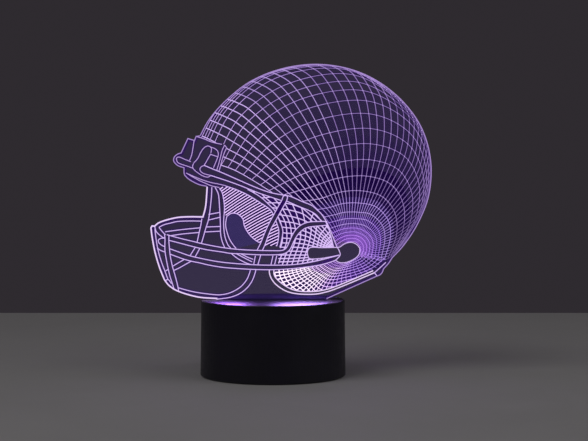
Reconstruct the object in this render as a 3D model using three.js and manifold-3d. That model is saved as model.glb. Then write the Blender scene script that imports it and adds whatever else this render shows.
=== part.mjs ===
// Edge-lit night lamp: a clear acrylic plate, cut to the outline of an american
// football helmet, stands in the slot of a round black base that holds the LEDs,
// the switch and three AA cells.
//
// Millimetres, +Z up. The origin is on the axis of the base, in the plane that the
// feet stand on. The plate lies in the XZ plane and its engraved face looks along -Y.

import * as THREE from 'three';
import { mergeVertices } from 'three/addons/utils/BufferGeometryUtils.js';
import Module from 'manifold-3d';

const wasm = await Module();
wasm.setup();

// ---------------------------------------------------------------- dimensions

const GAP = 0.3; // clearance between pieces that sit in one another
const FACE_GAP = 0.1; // clearance between flat faces that rest on one another

const BASE = {
  rimZ: 0.5, // the rim hangs this far above the floor
  topZ: 45.6,
  bottomRadius: 43.6,
  topRadius: 43.0,
  wall: 2.4,
  top: 2.6,
  edge: 0.8, // rounding of the top edge
  edgeSteps: 4,
  chamfer: 0.4, // at the foot of the wall
  segments: 96,
};
const innerTopZ = BASE.topZ - BASE.top;

const PLATE = {
  thickness: 4,
  tabLeft: -33.4,
  tabRight: 32.3,
  tabBottomZ: 34.3,
  shoulderZ: 46, // the cut edge leaves the tab here, just above the base
  curveSegments: 8, // in each curved stretch of the cut edge
};

const SLOT = { clearance: 0.3 };

const COVER = { radius: 40.9, bottomZ: 1.2, topZ: 3.5 };
const POST = { x: 17, y: 32.5, radius: 3.6, bottomZ: 5.8, pilotTopZ: 16.5 };
const COVER_BOSS = { radius: 3.8, topZ: 5.5, recessRadius: 3.0, recessTopZ: 3.7 };
const FOOT = { x: 32.5, y: 17, radius: 3.4, topZ: 1.7, recessTopZ: 1.8 };

const CELL = {
  radius: 7.1,
  length: 50.5,
  shoulder: 0.7,
  nubRadius: 2.75,
  nubLength: 1.4,
  pitch: 15,
  z: 10.8,
  tipX: 27.8,
};
const TRAY = { x: 28.6, y: 22.6, roofZ: 18.3, wall: 1.4 };
const CONTACT = {
  thickness: 0.4,
  halfWidth: 6,
  bottomZ: 4.6,
  topZ: 17,
  tabTopZ: 21.6,
  tabHalfWidth: 1.8,
};
const SPRING = { wire: 0.35, largeRadius: 4.4, smallRadius: 2.6, turns: 3.25, steps: 40 };

const DOOR = { x: 27.2, front: -22.2, back: 22.2, bottomZ: 1.2, topZ: 3.2, opening: 0.4 };
const DOOR_TAB = { x: 16, halfWidth: 3, reach: 24.2, bottomZ: 3.2, topZ: 4.3, windowTopZ: 7.2 };
const LATCH = { half: 5, length: 9, slit: 0.8, notchHalf: 6 };
const GRIP = { count: 5, first: 1.2, pitch: 1.4, width: 0.6, half: 3.6, depth: 0.4 };

const HOLDER = {
  x: 37,
  y: 6.5,
  bottomZ: 31.4,
  topZ: innerTopZ - GAP,
  ledgeZ: 34.0,
  cavityX: 30.5,
  cavityY: 4.6,
  earY: 11,
  earHalfWidth: 4,
  earBottomZ: 33.4,
  earTopZ: 36.2,
};
const HOLDER_BOSS = { radius: 3.4, bottomZ: 36.5 };

const LED_BOARD = { x: 36, y: 5, bottomZ: 30.0, topZ: 31.2, screwX: 33.6 };
const LED = { count: 6, pitch: 9.6, size: 5, height: 1.6, dishRadius: 2.0, dishDepth: 0.3 };

const BOARD = {
  x: 13,
  front: 25.6,
  back: 38.4,
  bottomZ: 22.0,
  topZ: 23.2,
  notchY: 36.8,
  holeX: 10.5,
  holeY: 28.2,
  postRadius: 2.8,
};
const CHIP = { left: -2.6, right: 2.4, front: 26.6, back: 30.4, height: 1.5 };
const CAPACITOR = { x: 5.2, y: 31.4, radius: 2.4, height: 5.4 };
const RESISTOR = { count: 2, left: 10.2, length: 2, firstY: 32.2, pitch: 2.4, width: 1.2, height: 0.6 };

const BUTTON = {
  x: -6,
  z: 26,
  radius: 3.5,
  outerY: 44.0,
  dome: 0.5,
  flangeRadius: 4.1,
  flangeBackY: 39.0,
  flangeFrontY: 38.2,
};
const SWITCH = {
  halfWidth: 3.5,
  front: 31.0,
  back: 36.1,
  bottomZ: 23.3,
  topZ: 28.7,
  plungerHalf: 1.3,
  plungerFront: 34.6,
  pocketDepth: 1.4,
};
const USB = {
  x: 6,
  halfWidth: 3.75,
  bottomZ: 23.3,
  height: 2.6,
  front: 35.8,
  back: 41.4,
  shell: 0.35,
  tongueHalf: 2.1,
  opening: 0.6, // room round the socket in the wall
};

// Screws: pilot is the radius of the blind hole that the thread bites into, and
// hole is the radius of the clear hole in the piece that the screw holds.
const COVER_SCREW = {
  head: 2.6,
  height: 1.6,
  shaft: 1.3,
  pilot: 1.6,
  hole: 1.7,
  headZ: 2.0,
  tipZ: 15,
};
const HOLDER_SCREW = { head: 2.4, height: 1.4, shaft: 1.3, pilot: 1.6, hole: 1.6, tipZ: 40.4 };
const LED_BOARD_SCREW = { head: 1.5, height: 1, shaft: 0.7, pilot: 1.0, hole: 1.0, tipZ: 32.8 };
const BOARD_SCREW = {
  head: 2.0,
  height: 1.3,
  shaft: 1.0,
  pilot: 1.3,
  hole: 1.3,
  tipZ: 15,
  pilotBottomZ: 13.5,
};
const DRIVE_HALF_WIDTH = 0.25; // half the width of one arm of a cross recess

const WIRE = { battery: 0.6, led: 0.5, ledPitch: 1.6 };
const CUT = 1; // how far a cutter runs past the face that it opens
const BITE = 0.3; // how far two joined shapes run into one another
const TAB_ROOM = 0.5; // room beside a tab in its window

// ------------------------------------------------------------------ materials

function finish(color, roughness, metalness = 0) {
  return new THREE.MeshStandardMaterial({ color, roughness, metalness });
}

const blackPlastic = finish(0x111113, 0.42);
const clearAcrylic = finish(0xb79af5, 0.05);
clearAcrylic.transparent = true;
clearAcrylic.opacity = 0.45;
const whitePlastic = finish(0xe9e9ea, 0.5);
const whiteBoard = finish(0xf2f2ee, 0.4);
const greenBoard = finish(0x1d6b3a, 0.45);
const ledBody = finish(0xf6efcf, 0.35);
const chipBlack = finish(0x1a1a1c, 0.5);
const rubber = finish(0x202022, 0.85);
const steel = finish(0xb9bcc0, 0.32, 1);
const nickel = finish(0xcfd0cc, 0.28, 1);
const cellWrap = finish(0x3a5a8c, 0.38);
const redWire = finish(0xb3201c, 0.5);
const blackWire = finish(0x161616, 0.5);
const blueWire = finish(0x2448a8, 0.5);

// ------------------------------------------------------------------- helpers

const group = new THREE.Group();

function addPiece(name, geometry, material) {
  const mesh = new THREE.Mesh(geometry, material);
  mesh.name = name;
  group.add(mesh);
  return mesh;
}

function toSolid(geometry) {
  const bare = geometry.clone();
  bare.deleteAttribute('normal');
  bare.deleteAttribute('uv');
  const merged = mergeVertices(bare, 1e-4);
  return new wasm.Manifold(new wasm.Mesh({
    numProp: 3,
    vertProperties: new Float32Array(merged.attributes.position.array),
    triVerts: new Uint32Array(merged.index.array),
  }));
}

function toGeometry(solid) {
  const mesh = solid.getMesh();
  const geometry = new THREE.BufferGeometry();
  geometry.setAttribute('position', new THREE.BufferAttribute(mesh.vertProperties, 3));
  geometry.setIndex(new THREE.BufferAttribute(mesh.triVerts, 1));
  geometry.computeVertexNormals();
  return geometry;
}

// Joins the first list of geometries and takes the second list away.
function carve(joined, removed = []) {
  let solid = toSolid(joined[0]);
  for (const geometry of joined.slice(1)) {
    solid = solid.add(toSolid(geometry));
  }
  for (const geometry of removed) {
    solid = solid.subtract(toSolid(geometry));
  }
  return toGeometry(solid);
}

// A box between two corners.
function boxBetween(x0, x1, y0, y1, z0, z1) {
  const geometry = new THREE.BoxGeometry(x1 - x0, y1 - y0, z1 - z0);
  geometry.translate((x0 + x1) / 2, (y0 + y1) / 2, (z0 + z1) / 2);
  return geometry;
}

// An upright cylinder.
function post(x, y, radius, z0, z1, sides = 24) {
  const geometry = new THREE.CylinderGeometry(radius, radius, z1 - z0, sides);
  geometry.rotateX(Math.PI / 2);
  geometry.translate(x, y, (z0 + z1) / 2);
  return geometry;
}

// A cylinder lying along Y.
function pin(x, z, radius, y0, y1, sides = 24) {
  const geometry = new THREE.CylinderGeometry(radius, radius, y1 - y0, sides);
  geometry.translate(x, (y0 + y1) / 2, z);
  return geometry;
}

// A body of revolution about Z from [radius, z] points, first and last on the axis.
function turned(profile, sides = BASE.segments) {
  const points = profile.map(([radius, z]) => new THREE.Vector2(radius, z));
  const geometry = new THREE.LatheGeometry(points, sides);
  geometry.rotateX(Math.PI / 2);
  return geometry;
}

// A flat plate from an outline in the XZ plane, between two Y values.
function plateFromOutline(shape, y0, y1) {
  const depth = y1 - y0;
  const { curveSegments } = PLATE;
  const geometry = new THREE.ExtrudeGeometry(shape, { depth, bevelEnabled: false, curveSegments });
  geometry.rotateX(Math.PI / 2);
  geometry.translate(0, y1, 0);
  return geometry;
}

function vectors2(points) {
  return points.map(([x, z]) => new THREE.Vector2(x, z));
}

// A round wire along a smooth curve through the given points.
function wire(points, radius, steps, sides = 6) {
  const path = new THREE.CatmullRomCurve3(points.map((point) => new THREE.Vector3(...point)));
  const section = new THREE.Shape();
  for (let side = 0; side < sides; side += 1) {
    const angle = (side / sides) * 2 * Math.PI;
    const x = radius * Math.cos(angle);
    const y = radius * Math.sin(angle);
    if (side === 0) section.moveTo(x, y);
    else section.lineTo(x, y);
  }
  section.closePath();
  return new THREE.ExtrudeGeometry(section, { extrudePath: path, steps, bevelEnabled: false });
}

// The cross recess in a screw head, between two heights.
function crossRecess(x, y, headRadius, z0, z1) {
  const reach = headRadius * 0.6;
  const half = DRIVE_HALF_WIDTH;
  return [
    boxBetween(x - reach, x + reach, y - half, y + half, z0, z1),
    boxBetween(x - half, x + half, y - reach, y + reach, z0, z1),
  ];
}

// A pan-head screw with its head at the bottom, from headZ, and its point up.
function screwUp(x, y, screw, headZ) {
  const neckZ = headZ + screw.height;
  return carve(
    [
      post(x, y, screw.head, headZ, neckZ, 20),
      post(x, y, screw.shaft, neckZ - BITE, screw.tipZ, 12),
    ],
    crossRecess(x, y, screw.head, headZ - CUT, headZ + screw.height / 2),
  );
}

// The same screw with its head at the top, under headTopZ, and its point down.
function screwDown(x, y, screw, headTopZ) {
  const neckZ = headTopZ - screw.height;
  return carve(
    [
      post(x, y, screw.head, neckZ, headTopZ, 20),
      post(x, y, screw.shaft, screw.tipZ, neckZ + BITE, 12),
    ],
    crossRecess(x, y, screw.head, headTopZ - screw.height / 2, headTopZ + CUT),
  );
}

const corners = [[-1, -1], [1, -1], [1, 1], [-1, 1]];

// ------------------------------------------------------------- acrylic plate

// The cut edge follows the drawing: lower guard bar, guard front, upper guard bar,
// upright bar, brow bumper and then the crown, back and neck of the shell.
function helmetOutline() {
  const shape = new THREE.Shape();
  shape.moveTo(PLATE.tabRight, PLATE.tabBottomZ);
  shape.lineTo(PLATE.tabLeft, PLATE.tabBottomZ);
  shape.lineTo(PLATE.tabLeft, PLATE.shoulderZ - 0.1);
  shape.splineThru(vectors2([[-45, 46.8], [-56.5, 50.1], [-62.3, 53.6], [-65.4, 57.4]]));
  shape.splineThru(vectors2([[-68.4, 65], [-71, 74], [-72.7, 83], [-73.4, 88.8]]));
  shape.lineTo(-72.6, 90.2);
  shape.lineTo(-70.9, 90.1);
  shape.splineThru(vectors2([[-68.6, 92], [-64, 93.7], [-57, 95.3], [-49.5, 95.7], [-42.2, 95.6]]));
  shape.splineThru(vectors2([[-40.6, 102], [-39.7, 113.3]]));
  shape.splineThru(vectors2([[-44.5, 114.4], [-49.6, 117], [-52.6, 119.6], [-53.4, 121.5]]));
  shape.lineTo(-53.4, 124.4);
  shape.splineThru(vectors2([
    [-57, 125.7], [-59.4, 128.2], [-59.3, 130.8], [-57.4, 132.8], [-55, 133.7],
  ]));
  shape.lineTo(-50.9, 142.4);
  shape.lineTo(-47, 141.2);
  shape.lineTo(-46, 143.6);
  shape.lineTo(-43.6, 143.9);
  shape.splineThru(vectors2([
    [-38.2, 153.6], [-28.5, 164.6], [-14, 176], [4, 183.5], [24, 186.5], [44, 184.2],
    [62, 176.8], [78, 164], [89.4, 147.6], [94.6, 128], [93.4, 108], [87, 91.4],
    [79, 78.8], [71.6, 70.6],
  ]));
  shape.splineThru(vectors2([[69.4, 67.2], [66.5, 64]]));
  shape.splineThru(vectors2([[65.7, 61.9], [64.3, 60.3], [62.4, 59.5]]));
  shape.lineTo(PLATE.tabRight, PLATE.shoulderZ);
  shape.closePath();
  return shape;
}

const halfPlate = PLATE.thickness / 2;
addPiece('acrylic_plate', plateFromOutline(helmetOutline(), -halfPlate, halfPlate), clearAcrylic);

// -------------------------------------------------------------- base housing

function housingBody() {
  const innerTopRadius = BASE.topRadius - BASE.wall;
  const innerBottomRadius = BASE.bottomRadius - BASE.wall;
  const profile = [
    [0, innerTopZ],
    [innerTopRadius, innerTopZ],
    [innerBottomRadius, BASE.rimZ],
    [BASE.bottomRadius - BASE.chamfer, BASE.rimZ],
    [BASE.bottomRadius, BASE.rimZ + BASE.chamfer],
  ];
  for (let step = 0; step <= BASE.edgeSteps; step += 1) {
    const angle = (step / BASE.edgeSteps) * (Math.PI / 2);
    profile.push([
      BASE.topRadius - BASE.edge * (1 - Math.cos(angle)),
      BASE.topZ - BASE.edge * (1 - Math.sin(angle)),
    ]);
  }
  profile.push([0, BASE.topZ]);
  return turned(profile);
}

const housingParts = [housingBody()];
const wallInnerY = 36;
const wallOuterY = BASE.bottomRadius + CUT;
const housingCuts = [
  boxBetween(
    PLATE.tabLeft - SLOT.clearance, PLATE.tabRight + SLOT.clearance,
    -halfPlate - SLOT.clearance, halfPlate + SLOT.clearance,
    innerTopZ - CUT, BASE.topZ + CUT,
  ),
  pin(BUTTON.x, BUTTON.z, BUTTON.radius + GAP, wallInnerY, wallOuterY),
  boxBetween(
    USB.x - USB.halfWidth - USB.opening, USB.x + USB.halfWidth + USB.opening, wallInnerY, wallOuterY,
    USB.bottomZ - USB.opening, USB.bottomZ + USB.height + USB.opening,
  ),
];
const ceilingZ = BASE.topZ - BASE.top / 2; // posts end here, inside the top
for (const [sideX, sideY] of corners) {
  const x = sideX * POST.x;
  const y = sideY * POST.y;
  housingParts.push(post(x, y, POST.radius, POST.bottomZ, ceilingZ));
  housingCuts.push(post(x, y, COVER_SCREW.pilot, POST.bottomZ - CUT, POST.pilotTopZ, 16));
}
for (const side of [-1, 1]) {
  const y = side * HOLDER.earY;
  housingParts.push(post(0, y, HOLDER_BOSS.radius, HOLDER_BOSS.bottomZ, ceilingZ));
  housingCuts.push(post(0, y, HOLDER_SCREW.pilot, HOLDER_BOSS.bottomZ - CUT, innerTopZ, 16));
}
addPiece('base_housing', carve(housingParts, housingCuts), blackPlastic);

// ---------------------------------------------------- bottom cover and tray

const trayOuterX = TRAY.x + TRAY.wall;
const trayOuterY = TRAY.y + TRAY.wall;
const coverParts = [
  post(0, 0, COVER.radius, COVER.bottomZ, COVER.topZ, BASE.segments),
  boxBetween(
    -trayOuterX, trayOuterX, -trayOuterY, trayOuterY, COVER.topZ - BITE, TRAY.roofZ + TRAY.wall,
  ),
];
const coverCuts = [
  boxBetween(-TRAY.x, TRAY.x, -TRAY.y, TRAY.y, COVER.topZ, TRAY.roofZ),
  boxBetween(
    -DOOR.x - DOOR.opening, DOOR.x + DOOR.opening,
    DOOR.front - DOOR.opening, DOOR.back + DOOR.opening, COVER.bottomZ - CUT, COVER.topZ + CUT / 2,
  ),
  // finger notch in front of the door's latch
  boxBetween(
    -LATCH.notchHalf, LATCH.notchHalf,
    DOOR.front - 5, DOOR.front + CUT, COVER.bottomZ - CUT, COVER.bottomZ + 1,
  ),
];
for (const [sideX, sideY] of corners) {
  const x = sideX * POST.x;
  const y = sideY * POST.y;
  coverParts.push(post(x, y, COVER_BOSS.radius, COVER.topZ - BITE, COVER_BOSS.topZ));
  coverCuts.push(post(x, y, COVER_BOSS.recessRadius, COVER.bottomZ - CUT, COVER_BOSS.recessTopZ));
  coverCuts.push(post(x, y, COVER_SCREW.hole, COVER.bottomZ, COVER_BOSS.topZ + CUT, 16));
  coverCuts.push(post(
    sideX * FOOT.x, sideY * FOOT.y, FOOT.radius + GAP, COVER.bottomZ - CUT, FOOT.recessTopZ,
  ));
}
for (const side of [-1, 1]) {
  const x = side * BOARD.holeX;
  coverParts.push(post(
    x, BOARD.holeY, BOARD.postRadius, COVER.topZ - BITE, BOARD.bottomZ - FACE_GAP, 20,
  ));
  coverCuts.push(post(
    x, BOARD.holeY, BOARD_SCREW.pilot, BOARD_SCREW.pilotBottomZ, BOARD.bottomZ + CUT, 12,
  ));
  coverCuts.push(boxBetween(
    side * DOOR_TAB.x - DOOR_TAB.halfWidth - TAB_ROOM, side * DOOR_TAB.x + DOOR_TAB.halfWidth + TAB_ROOM,
    TRAY.y - 1, trayOuterY + 1, COVER.topZ - GAP, DOOR_TAB.windowTopZ,
  ));
}
// Slots in the roof for the two soldering tabs of the cell contacts.
const leadTabs = [[-1, 1], [1, -1]];
for (const [sideX, sideY] of leadTabs) {
  const x = sideX * (TRAY.x - GAP);
  const y = sideY * CELL.pitch;
  const half = CONTACT.tabHalfWidth + TAB_ROOM;
  coverCuts.push(boxBetween(
    x - 0.7, x + 0.6, y - half, y + half, TRAY.roofZ - CUT / 2, TRAY.roofZ + TRAY.wall + CUT,
  ));
}
addPiece('bottom_cover', carve(coverParts, coverCuts), blackPlastic);

// -------------------------------------------------------------- battery door

function batteryDoor() {
  const parts = [boxBetween(-DOOR.x, DOOR.x, DOOR.front, DOOR.back, DOOR.bottomZ, DOOR.topZ)];
  for (const side of [-1, 1]) {
    const x0 = side * DOOR_TAB.x - DOOR_TAB.halfWidth;
    const x1 = side * DOOR_TAB.x + DOOR_TAB.halfWidth;
    parts.push(boxBetween(x0, x1, DOOR.back - 2.4, DOOR.back, DOOR.topZ - BITE, DOOR_TAB.topZ));
    parts.push(boxBetween(
      x0, x1, DOOR.back - BITE, DOOR_TAB.reach, DOOR_TAB.bottomZ + GAP, DOOR_TAB.topZ,
    ));
  }
  // Two slits free the latch tongue, and grooves across it give the finger grip.
  const cuts = [-1, 1].map((side) => {
    const inner = side * LATCH.half;
    const outer = side * (LATCH.half + LATCH.slit);
    return boxBetween(
      Math.min(inner, outer), Math.max(inner, outer),
      DOOR.front - CUT, DOOR.front + LATCH.length, DOOR.bottomZ - CUT, DOOR.topZ + CUT,
    );
  });
  for (let groove = 0; groove < GRIP.count; groove += 1) {
    const y = DOOR.front + GRIP.first + groove * GRIP.pitch;
    cuts.push(boxBetween(
      -GRIP.half, GRIP.half, y, y + GRIP.width, DOOR.bottomZ - CUT, DOOR.bottomZ + GRIP.depth,
    ));
  }
  return carve(parts, cuts);
}

addPiece('battery_door', batteryDoor(), blackPlastic);

// ------------------------------------------------------------- cells, contacts

// Cells 1 and 3 point their positive end to +X and cell 2 to -X, in series.
const cells = [
  { y: -CELL.pitch, positive: 1 },
  { y: 0, positive: -1 },
  { y: CELL.pitch, positive: 1 },
];

function cellGeometry(y, positive) {
  const { shoulder } = CELL;
  const bodyEnd = CELL.length - CELL.nubLength;
  const geometry = turned([
    [0, 0],
    [CELL.radius - shoulder, 0],
    [CELL.radius, shoulder],
    [CELL.radius, bodyEnd - shoulder],
    [CELL.radius - shoulder, bodyEnd],
    [CELL.nubRadius, bodyEnd],
    [CELL.nubRadius, CELL.length],
    [0, CELL.length],
  ], 32);
  geometry.rotateY(positive * (Math.PI / 2));
  geometry.translate(positive * (CELL.tipX - CELL.length), y, CELL.z);
  return geometry;
}

// A conical coil spring along X, from the wide end at x0 to the narrow end at x1.
function coilSpring(x0, x1, y, z) {
  const points = [];
  for (let step = 0; step <= SPRING.steps; step += 1) {
    const share = step / SPRING.steps;
    const angle = share * SPRING.turns * 2 * Math.PI;
    const radius = SPRING.largeRadius + (SPRING.smallRadius - SPRING.largeRadius) * share;
    points.push([x0 + (x1 - x0) * share, y + radius * Math.cos(angle), z + radius * Math.sin(angle)]);
  }
  return wire(points, SPRING.wire, SPRING.steps, 5);
}

cells.forEach(({ y, positive }, index) => {
  const number = index + 1;
  addPiece(`battery_${number}`, cellGeometry(y, positive), cellWrap);
  const plateX = -positive * (CELL.tipX + GAP);
  const cellEndX = positive * (CELL.tipX - CELL.length);
  const inset = SPRING.wire + GAP;
  addPiece(
    `contact_spring_${number}`,
    coilSpring(plateX + positive * inset, cellEndX - positive * inset, y, CELL.z),
    nickel,
  );
});

function contactPlate(side, y0, y1, tabY) {
  const inner = side * (CELL.tipX + GAP);
  const outer = inner + side * CONTACT.thickness;
  const x0 = Math.min(inner, outer);
  const x1 = Math.max(inner, outer);
  const parts = [boxBetween(x0, x1, y0, y1, CONTACT.bottomZ, CONTACT.topZ)];
  if (tabY !== null) {
    const half = CONTACT.tabHalfWidth;
    parts.push(boxBetween(
      x0, x1, tabY - half, tabY + half, CONTACT.topZ - BITE, CONTACT.tabTopZ,
    ));
  }
  return carve(parts);
}

const leadReach = CELL.pitch + CONTACT.halfWidth;
addPiece('contact_bridge_left', contactPlate(-1, -leadReach, CONTACT.halfWidth, null), nickel);
addPiece(
  'contact_lead_left',
  contactPlate(-1, CELL.pitch - CONTACT.halfWidth, leadReach, CELL.pitch),
  nickel,
);
addPiece('contact_bridge_right', contactPlate(1, -CONTACT.halfWidth, leadReach, null), nickel);
addPiece(
  'contact_lead_right',
  contactPlate(1, -leadReach, CONTACT.halfWidth - CELL.pitch, -CELL.pitch),
  nickel,
);

// --------------------------------------------------- LED holder and its board

function ledHolder() {
  const parts = [boxBetween(-HOLDER.x, HOLDER.x, -HOLDER.y, HOLDER.y, HOLDER.bottomZ, HOLDER.topZ)];
  const cuts = [
    boxBetween(
      PLATE.tabLeft - SLOT.clearance, PLATE.tabRight + SLOT.clearance,
      -halfPlate - SLOT.clearance, halfPlate + SLOT.clearance, HOLDER.ledgeZ, HOLDER.topZ + CUT,
    ),
    boxBetween(
      -HOLDER.cavityX, HOLDER.cavityX,
      -HOLDER.cavityY, HOLDER.cavityY, HOLDER.bottomZ - CUT, HOLDER.ledgeZ + BITE,
    ),
  ];
  for (const side of [-1, 1]) {
    const y = side * HOLDER.earY;
    parts.push(boxBetween(
      -HOLDER.earHalfWidth, HOLDER.earHalfWidth,
      y - HOLDER.earHalfWidth, y + HOLDER.earHalfWidth, HOLDER.earBottomZ, HOLDER.earTopZ,
    ));
    parts.push(boxBetween(
      -HOLDER.earHalfWidth, HOLDER.earHalfWidth,
      Math.min(side * (HOLDER.y - BITE), y), Math.max(side * (HOLDER.y - BITE), y),
      HOLDER.earBottomZ, HOLDER.earTopZ,
    ));
    cuts.push(post(0, y, HOLDER_SCREW.hole, HOLDER.earBottomZ - CUT, HOLDER.earTopZ + CUT, 16));
    cuts.push(post(
      side * LED_BOARD.screwX, 0, LED_BOARD_SCREW.pilot,
      HOLDER.bottomZ - CUT, HOLDER.ledgeZ - 0.8, 12,
    ));
  }
  return carve(parts, cuts);
}

addPiece('led_holder', ledHolder(), whitePlastic);

const ledBoardHoles = [-1, 1].map((side) => (
  post(
    side * LED_BOARD.screwX, 0, LED_BOARD_SCREW.hole,
    LED_BOARD.bottomZ - CUT, LED_BOARD.topZ + CUT, 12,
  )
));
addPiece('led_board', carve(
  [boxBetween(
    -LED_BOARD.x, LED_BOARD.x, -LED_BOARD.y, LED_BOARD.y, LED_BOARD.bottomZ, LED_BOARD.topZ,
  )],
  ledBoardHoles,
), whiteBoard);

for (let index = 0; index < LED.count; index += 1) {
  const x = (index - (LED.count - 1) / 2) * LED.pitch;
  const half = LED.size / 2;
  const bottom = LED_BOARD.topZ + FACE_GAP;
  const top = bottom + LED.height;
  const body = boxBetween(x - half, x + half, -half, half, bottom, top);
  const lensDish = post(x, 0, LED.dishRadius, top - LED.dishDepth, top + CUT, 20);
  addPiece(`led_${index + 1}`, carve([body], [lensDish]), ledBody);
}

// ------------------------------------------------------------- control board

function controlBoard() {
  const shape = new THREE.Shape(vectors2([
    [-BOARD.x, BOARD.front],
    [BOARD.x, BOARD.front],
    [BOARD.x, BOARD.notchY],
    [USB.x + USB.halfWidth + 1, BOARD.back],
    [USB.x - USB.halfWidth - 1, BOARD.back],
    [USB.x - USB.halfWidth - 1, BOARD.notchY],
    [-BOARD.x, BOARD.notchY],
  ]));
  const depth = BOARD.topZ - BOARD.bottomZ;
  const slab = new THREE.ExtrudeGeometry(shape, { depth, bevelEnabled: false });
  slab.translate(0, 0, BOARD.bottomZ);
  const holes = [-1, 1].map((side) => (
    post(
      side * BOARD.holeX, BOARD.holeY, BOARD_SCREW.hole,
      BOARD.bottomZ - CUT, BOARD.topZ + CUT, 12,
    )
  ));
  return carve([slab], holes);
}

addPiece('control_board', controlBoard(), greenBoard);

const boardFace = BOARD.topZ + FACE_GAP;
addPiece('driver_chip', boxBetween(
  CHIP.left, CHIP.right, CHIP.front, CHIP.back, boardFace, boardFace + CHIP.height,
), chipBlack);
addPiece('filter_capacitor', post(
  CAPACITOR.x, CAPACITOR.y, CAPACITOR.radius, boardFace, boardFace + CAPACITOR.height,
), chipBlack);
for (let index = 0; index < RESISTOR.count; index += 1) {
  const y = RESISTOR.firstY + index * RESISTOR.pitch;
  addPiece(`resistor_${index + 1}`, boxBetween(
    RESISTOR.left, RESISTOR.left + RESISTOR.length,
    y, y + RESISTOR.width, boardFace, boardFace + RESISTOR.height,
  ), chipBlack);
}

function microUsbSocket() {
  const left = USB.x - USB.halfWidth;
  const right = USB.x + USB.halfWidth;
  const top = USB.bottomZ + USB.height;
  const shell = USB.shell;
  const body = boxBetween(left, right, USB.front, USB.back, USB.bottomZ, top);
  const mouth = boxBetween(
    left + shell, right - shell, USB.front + 1, USB.back + CUT, USB.bottomZ + shell, top - shell,
  );
  const tongue = boxBetween(
    USB.x - USB.tongueHalf, USB.x + USB.tongueHalf,
    USB.front + 0.5, USB.back - 0.8, top - shell - 1.1, top - shell - 0.5,
  );
  return carve([carve([body], [mouth]), tongue]);
}

addPiece('usb_socket', microUsbSocket(), steel);

// --------------------------------------------------- switch and power button

const pocketHalf = SWITCH.plungerHalf + GAP;
addPiece('switch_body', carve(
  [boxBetween(
    BUTTON.x - SWITCH.halfWidth, BUTTON.x + SWITCH.halfWidth,
    SWITCH.front, SWITCH.back, SWITCH.bottomZ, SWITCH.topZ,
  )],
  [boxBetween(
    BUTTON.x - pocketHalf, BUTTON.x + pocketHalf,
    SWITCH.plungerFront - SWITCH.pocketDepth, SWITCH.back + CUT,
    BUTTON.z - pocketHalf, BUTTON.z + pocketHalf,
  )],
), chipBlack);
addPiece('switch_plunger', boxBetween(
  BUTTON.x - SWITCH.plungerHalf, BUTTON.x + SWITCH.plungerHalf,
  SWITCH.plungerFront, BUTTON.flangeFrontY - FACE_GAP,
  BUTTON.z - SWITCH.plungerHalf, BUTTON.z + SWITCH.plungerHalf,
), whitePlastic);

function powerButton() {
  const { dome } = BUTTON;
  const cap = pin(
    BUTTON.x, BUTTON.z, BUTTON.radius, BUTTON.flangeBackY - BITE, BUTTON.outerY - dome, 32,
  );
  const crown = new THREE.CylinderGeometry(BUTTON.radius - dome, BUTTON.radius, dome, 32);
  crown.translate(BUTTON.x, BUTTON.outerY - dome / 2, BUTTON.z);
  const flange = pin(
    BUTTON.x, BUTTON.z, BUTTON.flangeRadius, BUTTON.flangeFrontY, BUTTON.flangeBackY, 32,
  );
  return carve([cap, crown, flange]);
}

addPiece('power_button', powerButton(), blackPlastic);

// ------------------------------------------------------------ screws and feet

corners.forEach(([sideX, sideY], index) => {
  const number = index + 1;
  addPiece(
    `cover_screw_${number}`,
    screwUp(sideX * POST.x, sideY * POST.y, COVER_SCREW, COVER_SCREW.headZ),
    steel,
  );
  const foot = turned([
    [0, 0],
    [FOOT.radius - 0.5, 0],
    [FOOT.radius, 0.5],
    [FOOT.radius, FOOT.topZ],
    [0, FOOT.topZ],
  ], 24);
  foot.translate(sideX * FOOT.x, sideY * FOOT.y, 0);
  addPiece(`rubber_foot_${number}`, foot, rubber);
});

[-1, 1].forEach((side, index) => {
  const number = index + 1;
  addPiece(
    `holder_screw_${number}`,
    screwUp(
      0, side * HOLDER.earY, HOLDER_SCREW, HOLDER.earBottomZ - FACE_GAP - HOLDER_SCREW.height,
    ),
    steel,
  );
  addPiece(
    `led_board_screw_${number}`,
    screwUp(
      side * LED_BOARD.screwX, 0, LED_BOARD_SCREW,
      LED_BOARD.bottomZ - FACE_GAP - LED_BOARD_SCREW.height,
    ),
    steel,
  );
  addPiece(
    `board_screw_${number}`,
    screwDown(
      side * BOARD.holeX, BOARD.holeY, BOARD_SCREW, BOARD.topZ + FACE_GAP + BOARD_SCREW.height,
    ),
    steel,
  );
});

// --------------------------------------------------------------- inner wiring

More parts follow.
